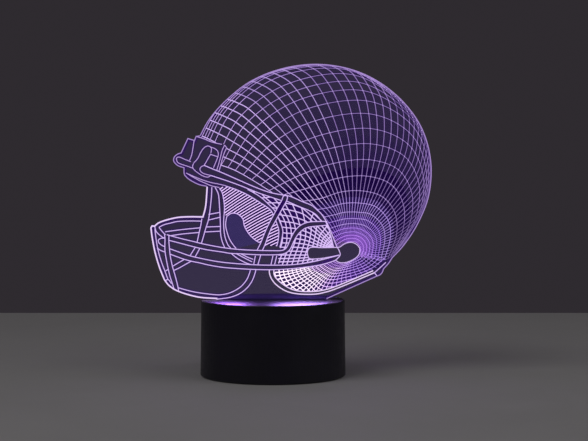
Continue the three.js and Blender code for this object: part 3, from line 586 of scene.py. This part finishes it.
def jaw_zone_ribs(across_span, rib_span):
    """The ribs of a zone. The next zone draws the rib that they share."""
    first, last = rib_span
    passed = steps_between(across_span[0], past_contour(across_span), step=0.05)
    lines = [
        [jaw_point(across, rib) for across in passed]
        for rib in range(first, last + (last == JAW_KNOTS[-1]))
    ]
    return cut_all(lines, jaw)


def jaw_zone_rings(across_span, rib_span):
    lines = []
    for ring in range(1, JAW_RINGS[0] + 2):
        run = []
        for rib in steps_between(*rib_span, step=0.25):
            count = eased_number(JAW_KNOTS, JAW_RINGS, rib)
            across = (ring / count) ** JAW_CROWDING
            if across_span[0] <= across <= past_contour(across_span):
                run.append(jaw_point(across, rib))
        if len(run) > 1:
            lines.append(run)
    return cut_all(lines, jaw)


def jaw_zone_area(across_span, rib_span):
    """The part of the mesh in a zone. It keeps clear of the ear and the contour."""
    near = max(across_span[0], JAW_AREA_SPAN[0])
    far = min(across_span[1], JAW_AREA_SPAN[1])
    ribs = steps_between(*rib_span, step=0.5)
    return [jaw_point(near, rib) for rib in ribs] + [jaw_point(far, rib) for rib in ribs[::-1]]


strap_field = spline(STRAP_LEFT) + spline(STRAP_RIGHT)[::-1]

# The hatching between the far rim and the near rim, on both sides of the strap.
STRAP_CROSSES_RIM, FIELD_TOP = 97, 120  # heights
hatch_fields = [
    between_heights(STRAP_CROSSES_RIM, FIELD_TOP, RIM_INNER) + between_heights(80, 96.5, STRAP_LEFT)
    + spline(PAD)[::-1] + between_heights(STRAP_CROSSES_RIM, FIELD_TOP, FAR_RIM_INNER)[::-1],
    between_heights(77.6, 95.6, STRAP_RIGHT)
    + [(2.3, 77.8), (3.2, 81.8), (3.5, 87.2), (2.3, 91.3), (1.8, 93)],
]
# Its lines are equal shallow arches, one above the other.
HATCH_PITCH = 1.8
HATCH_LINES = 44
HATCH_BOTTOM = 50
HATCH_SLOPE = 0.72
HATCH_BEND = 0.004
HATCH_SPAN = (-34, 8)
HATCH_ORIGIN = -30


def hatch_line(number):
    line = []
    for x in steps_between(*HATCH_SPAN, step=1):
        across = x - HATCH_ORIGIN
        rise = HATCH_SLOPE * across - HATCH_BEND * across ** 2
        line.append((x, HATCH_BOTTOM + HATCH_PITCH * number + rise))
    return line


hatch = []
for field in hatch_fields:
    for number in range(HATCH_LINES):
        hatch.extend(clip(hatch_line(number), field))

behind_strap = [spline(points) for points in (RIM_OUTER, RIM_INNER, BAND_LOWER, BAND_LOWER_EAR)]
contours = cut_all(behind_strap, strap_field, False) + [
    spline(points) for points in GUARD + FAR_RIM + NAPE + BAR_STAYS
    + [UPPER_BAR_TOP, UPPER_BAR_UNDER, LOWER_BAR_TOP, LOWER_BAR_UNDER,
       STRAP_LEFT, STRAP_RIGHT, STRAP_TOP, BAND_UPPER, BAND_EAR_LEFT, PAD, PAD_BACK]
]
clip_lines = [spline(points) for points in CLIP]
ear_lines = [spline(p) for p in (EAR_TOP, EAR_BOTTOM, EAR_FRONT, SLOT_TOP, SLOT_BOTTOM)]
jaw_lines = [spline(JAW_OUTER), spline(JAW_INNER)]
guard_edge = [edge_line(GUARD_EDGE)]
shell_edge = [edge_line(BROW_EDGE), edge_line([CROWN] + NAPE_EDGE)]

# ------------------------------------------------------------------- materials


def node_material(name):
    material = bpy.data.materials.new(name)
    material.use_nodes = True
    tree = material.node_tree
    return material, tree, tree.nodes["Principled BSDF"]


def add(tree, kind, inputs=None):
    node = tree.nodes.new(kind)
    for key, value in (inputs or {}).items():
        node.inputs[key].default_value = value
    return node


def noise(tree, scale, detail=4.0, stretch=(1, 1, 1)):
    """Noise over the object's own coordinates, in cycles per metre."""
    place = add(tree, "ShaderNodeTexCoord")
    mapping = add(tree, "ShaderNodeMapping", {"Scale": stretch})
    texture = add(tree, "ShaderNodeTexNoise", {"Scale": scale, "Detail": detail})
    tree.links.new(place.outputs["Object"], mapping.inputs["Vector"])
    tree.links.new(mapping.outputs["Vector"], texture.inputs["Vector"])
    return texture.outputs["Fac"]


def ramp_to(tree, value, target, low, high):
    """Sends the noise to an input, spread between two values."""
    spread = add(tree, "ShaderNodeMapRange", {"From Min": 0.3, "From Max": 0.7,
                                              "To Min": low, "To Max": high})
    tree.links.new(value, spread.inputs["Value"])
    tree.links.new(spread.outputs["Result"], target)


def tint_to(tree, value, target, dark, light):
    """Sends the noise to a colour input, between two colours."""
    ramp = add(tree, "ShaderNodeValToRGB")
    ramp.color_ramp.elements[0].position = 0.3
    ramp.color_ramp.elements[1].position = 0.7
    ramp.color_ramp.elements[0].color = (*dark, 1)
    ramp.color_ramp.elements[1].color = (*light, 1)
    tree.links.new(value, ramp.inputs["Fac"])
    tree.links.new(ramp.outputs["Color"], target)


def bump_from(tree, value, shader, depth):
    bump = add(tree, "ShaderNodeBump", {"Strength": 1.0, "Distance": depth})
    tree.links.new(value, bump.inputs["Height"])
    tree.links.new(bump.outputs["Normal"], shader.inputs["Normal"])


def surface(name, dark, light, rough, metallic=0.0, grain=1800.0, depth=0.00002,
            stretch=(1, 1, 1), patch=45.0, coat=0.0):
    """A surface with uneven colour in patches, uneven gloss and a fine grain."""
    material, tree, shader = node_material(name)
    shader.inputs["Metallic"].default_value = metallic
    shader.inputs["Coat Weight"].default_value = coat
    shader.inputs["Coat Roughness"].default_value = 0.06
    tint_to(tree, noise(tree, patch), shader.inputs["Base Color"], dark, light)
    ramp_to(tree, noise(tree, patch * 6, 6.0, stretch), shader.inputs["Roughness"], *rough)
    bump_from(tree, noise(tree, grain, 3.0, stretch), shader, depth)
    return material


def light_material(name, color, alpha=1.0, strength=1.0):
    """Lit acrylic with the grain of an engraved floor. A glow is see-through."""
    material, tree, shader = node_material(name)
    shader.inputs["Alpha"].default_value = alpha
    shader.inputs["Specular IOR Level"].default_value = 0.2
    shader.inputs["Emission Color"].default_value = (*color, 1)
    shader.inputs["Emission Strength"].default_value = strength
    tint_to(tree, noise(tree, 900), shader.inputs["Base Color"], (0.02, 0.01, 0.04), (0.05, 0.03, 0.08))
    ramp_to(tree, noise(tree, 2600), shader.inputs["Roughness"], 0.5, 0.8)
    bump_from(tree, noise(tree, 5200, 2.0), shader, 0.00003)
    return material


ACRYLIC_IOR = 1.49


def acrylic_material():
    material, tree, shader = node_material("acrylic_clear")
    shader.inputs["Transmission Weight"].default_value = 1.0
    shader.inputs["IOR"].default_value = ACRYLIC_IOR
    tint_to(tree, noise(tree, 12), shader.inputs["Base Color"], (0.94, 0.86, 0.99), (0.96, 0.89, 1.0))
    # A faint violet emission on both faces is painted glow: it stands in for the LED light scattered in
    # the acrylic.
    shader.inputs["Emission Color"].default_value = (0.1, 0.03, 0.7, 1)
    shader.inputs["Emission Strength"].default_value = 0.02
    ramp_to(tree, noise(tree, 60, 6.0), shader.inputs["Roughness"], 0.0, 0.025)
    bump_from(tree, noise(tree, 25, 2.0), shader, 0.00001)
    return material


def cut_edge_material():
    material, tree, shader = node_material("acrylic_cut_edge")
    shader.inputs["IOR"].default_value = ACRYLIC_IOR
    shader.inputs["Transmission Weight"].default_value = 0.55
    # The cut edge glows: a violet emission stands in for the LED light that leaves the plate through
    # it.
    shader.inputs["Emission Color"].default_value = (0.5, 0.28, 1.0, 1)
    shader.inputs["Emission Strength"].default_value = 0.3
    tint_to(tree, noise(tree, 200), shader.inputs["Base Color"], (0.6, 0.5, 0.85), (0.8, 0.72, 1.0))
    ramp_to(tree, noise(tree, 1500, 4.0, (0.2, 1, 0.2)), shader.inputs["Roughness"], 0.25, 0.45)
    bump_from(tree, noise(tree, 2500, 3.0, (0.2, 1, 0.2)), shader, 0.00002)
    return material


BLACK = ((0.003, 0.0022, 0.009), (0.006, 0.0045, 0.015))
black_side = surface("black_satin", *BLACK, (0.34, 0.46), grain=2600, depth=0.00003)
black_top = surface("black_gloss", *BLACK, (0.34, 0.40), grain=700, depth=0.000001)
black_inner = surface("black_inner", *BLACK, (0.45, 0.6), grain=1800, depth=0.00003)
button_plastic = surface("button_plastic", (0.01, 0.01, 0.011), (0.02, 0.02, 0.022), (0.3, 0.42),
                         grain=3200, depth=0.00004)
rubber = surface("foot_rubber", (0.012, 0.012, 0.012), (0.024, 0.024, 0.023), (0.7, 0.9),
                 grain=2400, depth=0.00008)
white_plastic = surface("white_plastic", (0.7, 0.7, 0.69), (0.78, 0.78, 0.77), (0.4, 0.55))
white_board = surface("white_board", (0.74, 0.74, 0.7), (0.82, 0.82, 0.78), (0.3, 0.45),
                      grain=900, depth=0.00004)
green_board = surface("green_board", (0.008, 0.085, 0.03), (0.012, 0.14, 0.05), (0.25, 0.4),
                      grain=900, depth=0.00005, patch=240)
led_body = surface("led_body", (0.75, 0.68, 0.42), (0.85, 0.8, 0.6), (0.25, 0.4))
chip_black = surface("chip_black", (0.015, 0.015, 0.016), (0.03, 0.03, 0.03), (0.4, 0.55),
                     grain=4200, depth=0.00004)
steel = surface("steel", (0.42, 0.42, 0.43), (0.56, 0.56, 0.57), (0.22, 0.4), 1.0,
                grain=2200, depth=0.00002, stretch=(1, 6, 1))
nickel = surface("nickel", (0.55, 0.54, 0.5), (0.68, 0.67, 0.63), (0.16, 0.3), 1.0,
                 grain=2600, depth=0.00001, stretch=(6, 1, 1))
red_wire = surface("wire_red", (0.42, 0.015, 0.01), (0.52, 0.025, 0.02), (0.35, 0.5))
black_wire = surface("wire_black", (0.008, 0.008, 0.008), (0.015, 0.015, 0.015), (0.35, 0.5))
green_wire = surface("wire_green", (0.01, 0.2, 0.06), (0.015, 0.27, 0.08), (0.35, 0.5))
blue_wire = surface("wire_blue", (0.012, 0.05, 0.32), (0.02, 0.07, 0.42), (0.35, 0.5))
cell_wrap = surface("cell_wrap", (0.03, 0.09, 0.24), (0.045, 0.12, 0.3), (0.22, 0.34),
                    grain=1200, depth=0.00002, coat=0.4)
acrylic = acrylic_material()
cut_edge = cut_edge_material()

light_edge = light_material("light_edge", (0.84, 0.65, 1.0))
light_bar = light_material("light_bar", (0.68, 0.49, 0.93))
light_clip = light_material("light_clip", (0.52, 0.36, 0.72))
light_soft = light_material("light_soft", (0.38, 0.25, 0.60))
light_dot = light_material("light_dot", (0.54, 0.38, 0.82))
light_cheek = light_material("light_cheek", (0.74, 0.54, 0.98))
light_hatch = light_material("light_hatch", (0.80, 0.56, 1.0), strength=1.3)
glow_line = light_material("glow_line", (0.022, 0.0015, 0.085), alpha=0.55)
glow_grid = light_material("glow_grid", (0.008, 0.0003, 0.040), alpha=0.5)
glow_faint = light_material("glow_faint", (0.009, 0.0003, 0.045), alpha=0.09)
glow_cheek = light_material("glow_cheek", (0.014, 0.0008, 0.065), alpha=0.88)
glow_hatch = light_material("glow_hatch", (0.011, 0.0004, 0.05), alpha=0.8)
glow_pad = light_material("glow_pad", (0.038, 0.028, 0.12), alpha=0.42)

# ---------------------------------------------------------------------- pieces

# Where the front of each kind of line stands. Kinds that cross one another differ.
EDGE_Y = -2.06
CONTOUR_Y = -2.05
DOT_Y = -2.04
NET_Y = -2.03
SHELL_RIB_Y = -2.02
LINE_BACK_Y = -1.8
# The glow lies in thin sheets under the face, one behind the other.
EDGE_GLOW_Y = -1.95
CONTOUR_GLOW_Y = -1.92
GRID_GLOW_Y = -1.9
GAP_GLOW_Y = -1.86
FAINT_GLOW_STEP = 0.008
GLOW_DEPTH = 0.02
GLOW_MARGIN = 0.9
DOT_SIDES = 8


def new_piece(name, verts, faces, body, materials, face_material=None):
    mesh = bpy.data.meshes.new(name)
    mesh.from_pydata([tuple(c * MM for c in v) for v in verts], [], faces)
    for material in materials:
        mesh.materials.append(material)
    if face_material:
        mesh.polygons.foreach_set("material_index", face_material)
    face_out = bmesh.new()
    face_out.from_mesh(mesh)
    bmesh.ops.recalc_face_normals(face_out, faces=face_out.faces)
    face_out.to_mesh(mesh)
    face_out.free()
    piece = bpy.data.objects.new(name, mesh)
    bpy.context.scene.collection.objects.link(piece)
    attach(piece, body)
    return piece


def ribbon(verts, faces, line, width, front, back, shift=0.0):
    """Adds a closed flat bar that follows the line. shift moves it to its left."""
    line = clean(line)
    if len(line) < 2:
        return
    first = len(verts)
    for i, point in enumerate(line):
        before = unit(line[max(i - 1, 0)], line[max(i, 1)])
        after = unit(line[min(i, len(line) - 2)], line[min(i + 1, len(line) - 1)])
        normal = (-(before[1] + after[1]), before[0] + after[0])
        size = math.hypot(*normal) or 1.0
        mitre = min(2.0 / size, RIBBON_MITRE_LIMIT) / size
        nx, nz = normal[0] * mitre, normal[1] * mitre
        half = (width(point) if callable(width) else width) / 2
        left = shift + half
        right = shift - half
        for side, y in ((left, front), (right, front), (right, back), (left, back)):
            verts.append((point[0] + nx * side, y, point[1] + nz * side))
    for i in range(len(line) - 1):
        a = first + 4 * i
        for k in range(4):
            faces.append((a + k, a + (k + 1) % 4, a + 4 + (k + 1) % 4, a + 4 + k))
    end = first + 4 * (len(line) - 1)
    faces.append((first + 3, first + 2, first + 1, first))
    faces.append((end, end + 1, end + 2, end + 3))


def widening(near_ear, growth):
    """A line width that grows with the distance from the ear."""
    return lambda point: near_ear + growth * math.dist(point, EAR_CENTRE)


def line_piece(name, lines, width, front, material, shift=0.0, back=LINE_BACK_Y):
    verts, faces = [], []
    for line in lines:
        ribbon(verts, faces, line, width, front, back, shift)
    return new_piece(name, verts, faces, "plate", [material])


def glow_piece(name, lines, width, front, material, shift=0.0):
    """The soft glow in the acrylic beside each line."""
    return line_piece(name, lines, width, front, material, shift, front + GLOW_DEPTH)


def prism(verts, faces, outline, front, back):
    """Adds a closed flat body with the given outline."""
    first, count = len(verts), len(outline)
    for y in (front, back):
        verts.extend((x, y, z) for x, z in outline)
    faces.append(tuple(range(first, first + count)))
    faces.append(tuple(range(first + 2 * count - 1, first + count - 1, -1)))
    for k in range(count):
        n = (k + 1) % count
        faces.append((first + n, first + k, first + count + k, first + count + n))


def sheet_piece(name, outlines, front, material):
    """The soft glow in the acrylic where the lines are dense."""
    verts, faces = [], []
    for outline in outlines:
        prism(verts, faces, clean(outline), front, front + GLOW_DEPTH)
    return new_piece(name, verts, faces, "plate", [material])


def dot_piece(name, points, radius, front, material):
    verts, faces = [], []
    angles = [2 * math.pi * k / DOT_SIDES for k in range(DOT_SIDES)]
    for x, z in points:
        circle = [(x + radius * math.cos(angle), z + radius * math.sin(angle)) for angle in angles]
        prism(verts, faces, circle, front, LINE_BACK_Y)
    return new_piece(name, verts, faces, "plate", [material])


def plate_piece():
    """The acrylic plate: polished faces, a small chamfer and a cut edge."""
    points = outline_points()
    count = len(points)
    inner = inset(points, CHAMFER)
    loops = [
        (inner, PLATE_FRONT), (points, PLATE_FRONT + CHAMFER),
        (points, PLATE_BACK - CHAMFER), (inner, PLATE_BACK),
    ]
    verts = [(x, y, z) for loop, y in loops for x, z in loop]
    faces = [tuple(range(count)), tuple(range(4 * count - 1, 3 * count - 1, -1))]
    for row in range(3):
        for i in range(count):
            n = (i + 1) % count
            here, ahead = row * count, (row + 1) * count
            faces.append((here + n, here + i, ahead + i, ahead + n))
    # The faces carry a faint painted glow, and the cut edge glows with painted light.
    kinds = [0, 0] + [1] * (3 * count)  # the two faces are clear, and the cut edge is frosted
    return new_piece("lamp_plate", verts, faces, "plate", [acrylic, cut_edge], kinds)


plate = plate_piece()
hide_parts("acrylic_plate")

# The lines. Those along the cut edge are shifted inwards by a little more than half their width.
line_piece("drawing_guard_edge", guard_edge, width=0.8, front=EDGE_Y, material=light_edge, shift=-0.42)
line_piece("drawing_shell_edge", shell_edge, width=0.55, front=EDGE_Y, material=light_soft, shift=-0.3)
line_piece("drawing_contours", contours, width=0.52, front=CONTOUR_Y, material=light_bar)
line_piece("drawing_clip", clip_lines, width=0.46, front=CONTOUR_Y, material=light_clip)
line_piece("drawing_ear", ear_lines, width=0.5, front=CONTOUR_Y, material=light_bar)
line_piece("drawing_jaw", jaw_lines, width=0.62, front=CONTOUR_Y, material=light_edge)
for number, (ring_span, rib_span, ring_color, rib_color, gap_glow_color) in enumerate(ZONES, 1):
    # Near the ear, where the gaps glow, the ribs start thin and widen faster.
    rib_width = widening(0.07, 0.0085) if gap_glow_color else widening(0.2, 0.003)
    line_piece(f"drawing_rings_{number}", zone_rings(ring_span, rib_span), width=0.32, front=NET_Y,
               material=light_material(f"light_rings_{number}", ring_color))
    line_piece(f"drawing_ribs_{number}", zone_ribs(ring_span, rib_span), rib_width, SHELL_RIB_Y,
               light_material(f"light_ribs_{number}", rib_color))
    if gap_glow_color:
        sheet_piece(f"glow_zone_{number}", [zone_area(ring_span)], GAP_GLOW_Y,
                    light_material(f"glow_zone_{number}", gap_glow_color, alpha=0.6))
dot_piece("drawing_crossings", crossings, radius=0.3, front=DOT_Y, material=light_dot)
cheek_back_net = cut_all(cut_all(cheek_net, cheek_back), strap_field, False)
line_piece("drawing_cheek_back", cheek_back_net, width=0.56, front=NET_Y, material=light_cheek)
cheek_front_net = cut_all(cheek_net, cheek_front)
line_piece("drawing_cheek_front", cheek_front_net, width=0.62, front=NET_Y, material=light_cheek)
for number, (across_span, rib_span, color, growth, gap_glow_color) in enumerate(JAW_ZONES, 1):
    light_jaw = light_material(f"light_jaw_{number}", color, strength=1.3)
    line_piece(f"drawing_jaw_ribs_{number}", jaw_zone_ribs(across_span, rib_span),
               widening(0, growth), NET_Y, light_jaw)
    line_piece(f"drawing_jaw_rings_{number}", jaw_zone_rings(across_span, rib_span),
               widening(0.16, growth * 0.7), NET_Y, light_jaw)
    sheet_piece(f"glow_jaw_{number}", [jaw_zone_area(across_span, rib_span)], GAP_GLOW_Y,
                light_material(f"glow_jaw_{number}", gap_glow_color, alpha=0.7))
line_piece("drawing_hatch", hatch, width=0.48, front=NET_Y, material=light_hatch)

# The glow beside the lines and in the gaps between them. It stays clear of the cut edge.
glow_field = inset(outline_points(), GLOW_MARGIN)
glow_piece("glow_edges", guard_edge + shell_edge, width=1.7, front=EDGE_GLOW_Y, material=glow_line,
           shift=-0.87)
near_contours = cut_all(contours + clip_lines, glow_field)
glow_piece("glow_contours", near_contours, width=1.7, front=CONTOUR_GLOW_Y, material=glow_line)
grid = zone_rings((9, RINGS - 1), (0, RIBS)) + zone_ribs((GLOWING_RINGS, RINGS), (0, RIBS))
near_grid = cut_all(grid, glow_field)
glow_piece("glow_grid", near_grid, width=1.15, front=GRID_GLOW_Y, material=glow_grid)
for number, last_ring in enumerate(FAINT_RINGS, 1):
    sheet_piece(f"glow_faint_{number}", [zone_area((GLOWING_RINGS, last_ring))],
                GAP_GLOW_Y + FAINT_GLOW_STEP * number, glow_faint)
sheet_piece("glow_cheek", [cheek_back, cheek_front], GAP_GLOW_Y, glow_cheek)
sheet_piece("glow_hatch", hatch_fields, GAP_GLOW_Y, glow_hatch)
sheet_piece("glow_pad", [spline(PAD) + spline(PAD_BACK)[::-1]], GAP_GLOW_Y, glow_pad)

# ------------------------------------------------------- finish of the CAD nodes


def paint(name, *materials):
    node = nodes[name]
    node.data.materials.clear()
    for material in materials:
        node.data.materials.append(material)
    return node


def soften(node, angle=40):
    """Smooth shading that keeps the hard edges."""
    mesh = node.data
    if "custom_normal" in mesh.attributes:
        mesh.attributes.remove(mesh.attributes["custom_normal"])
    mesh.shade_smooth()
    mesh.set_sharp_from_angle(angle=math.radians(angle))


FINISHES = {
    "bottom_cover": black_inner,
    "battery_door": black_inner,
    "led_holder": white_plastic,
    "led_board": white_board,
    "control_board": green_board,
    "driver_chip": chip_black,
    "filter_capacitor": chip_black,
    "switch_body": chip_black,
    "switch_plunger": white_plastic,
    "power_button": button_plastic,
    "usb_socket": steel,
    "battery_wire_red": red_wire,
    "battery_wire_black": black_wire,
    "led_wire_red": red_wire,
    "led_wire_green": green_wire,
    "led_wire_blue": blue_wire,
}
PREFIXES = {
    "battery_1": cell_wrap,
    "battery_2": cell_wrap,
    "battery_3": cell_wrap,
    "contact_": nickel,
    "led_board_screw": steel,
    "led_": led_body,
    "resistor_": chip_black,
    "cover_screw": steel,
    "holder_screw": steel,
    "board_screw": steel,
    "rubber_foot": rubber,
}
for name in nodes:
    if name in ("acrylic_plate", "base_housing"):
        continue
    finish = FINISHES.get(name)
    if finish is None:
        finish = next(value for prefix, value in PREFIXES.items() if name.startswith(prefix))
    soften(paint(name, finish))

housing = paint("base_housing", black_side, black_top)
soften(housing, 30)
base_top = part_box("base_housing")[1].z
facing_up, top_layer = 0.9, 0.0005
for polygon in housing.data.polygons:
    if polygon.normal.z > facing_up and polygon.center.z > base_top - top_layer:
        polygon.material_index = 1

# -------------------------------------------------------- stage, light, camera


def area_light(name, size, energy, place, target, color=(1, 1, 1), spread=180, shape="RECTANGLE"):
    """A soft lamp that the camera doesn't see."""
    data = bpy.data.lights.new(name, "AREA")
    data.shape = shape
    data.size, data.size_y = size
    data.energy = energy
    data.color = color
    data.spread = math.radians(spread)
    lamp = bpy.data.objects.new(name, data)
    lamp.location = place
    aim = Vector(target) - Vector(place)
    lamp.rotation_euler = aim.to_track_quat("-Z", "Y").to_euler()
    lamp.visible_camera = False
    bpy.context.scene.collection.objects.link(lamp)
    return lamp


def stage_floor():
    mesh = bpy.data.meshes.new("floor")
    half, near, far = 1.6, -1.6, 0.38
    corners = [(-half, near, 0), (half, near, 0), (half, far, 0), (-half, far, 0)]
    mesh.from_pydata(corners, [], [(0, 1, 2, 3)])
    floor = bpy.data.objects.new("floor", mesh)
    bpy.context.scene.collection.objects.link(floor)
    mesh.materials.append(surface("floor_pale", (0.52, 0.51, 0.5), (0.56, 0.55, 0.54), (0.6, 0.75),
                                  grain=300, depth=0.00002, patch=5))


def world():
    scene_world = bpy.data.worlds.new("studio")
    bpy.context.scene.world = scene_world
    scene_world.use_nodes = True
    background = scene_world.node_tree.nodes["Background"]
    background.inputs["Color"].default_value = (0.028, 0.024, 0.029, 1)
    background.inputs["Strength"].default_value = 1.0


def camera():
    """Looks at the plate from the front, a little above its middle."""
    distance, aim_x, aim_z, eye_z = 0.92, 0.0126, 0.093, 0.128
    view_width = 0.352212  # at the plate
    data = bpy.data.cameras.new("camera")
    data.sensor_width = 36
    data.lens = data.sensor_width * distance / view_width
    eye = bpy.data.objects.new("camera", data)
    eye.location = (aim_x, -distance, eye_z)
    aim = Vector((aim_x, 0, aim_z)) - eye.location
    eye.rotation_euler = aim.to_track_quat("-Z", "Y").to_euler()
    bpy.context.scene.collection.objects.link(eye)
    bpy.context.scene.camera = eye


stage_floor()
world()
camera()
lamp_middle = (0, 0, 0.05)
area_light("key", size=(1.2, 0.8), energy=5.0, place=(-0.9, -0.9, 1.3), target=lamp_middle)
area_light("fill", size=(1.4, 1.0), energy=2.5, place=(1.1, -0.6, 0.9), target=lamp_middle)
# Two pools of light on the base's top, from lamps on both sides of the plate that light the
# base only. They aim outwards.
lit_top = bpy.data.collections.new("lit_top")
lit_top.objects.link(housing)
pool_depth, lamp_height, sideways, away = 0.01, 0.06, 1.08, 2.4
for side, y in (("front", -0.01), ("back", 0.01)):
    for name, width, energy, x, color in (
        ("left", 0.024, 0.020, -0.026, (0.42, 0.17, 1.0)),
        ("right", 0.034, 0.027, 0.017, (0.43, 0.22, 1.0)),
    ):
        glow = area_light(f"glow_{name}_{side}", (width, pool_depth), energy, (x, y, lamp_height),
                          (sideways * x, away * y, base_top), color, spread=130, shape="ELLIPSE")
        glow.light_linking.receiver_collection = lit_top
        glow.light_linking.blocker_collection = lit_top
bpy.context.scene.view_settings.view_transform = "Standard"
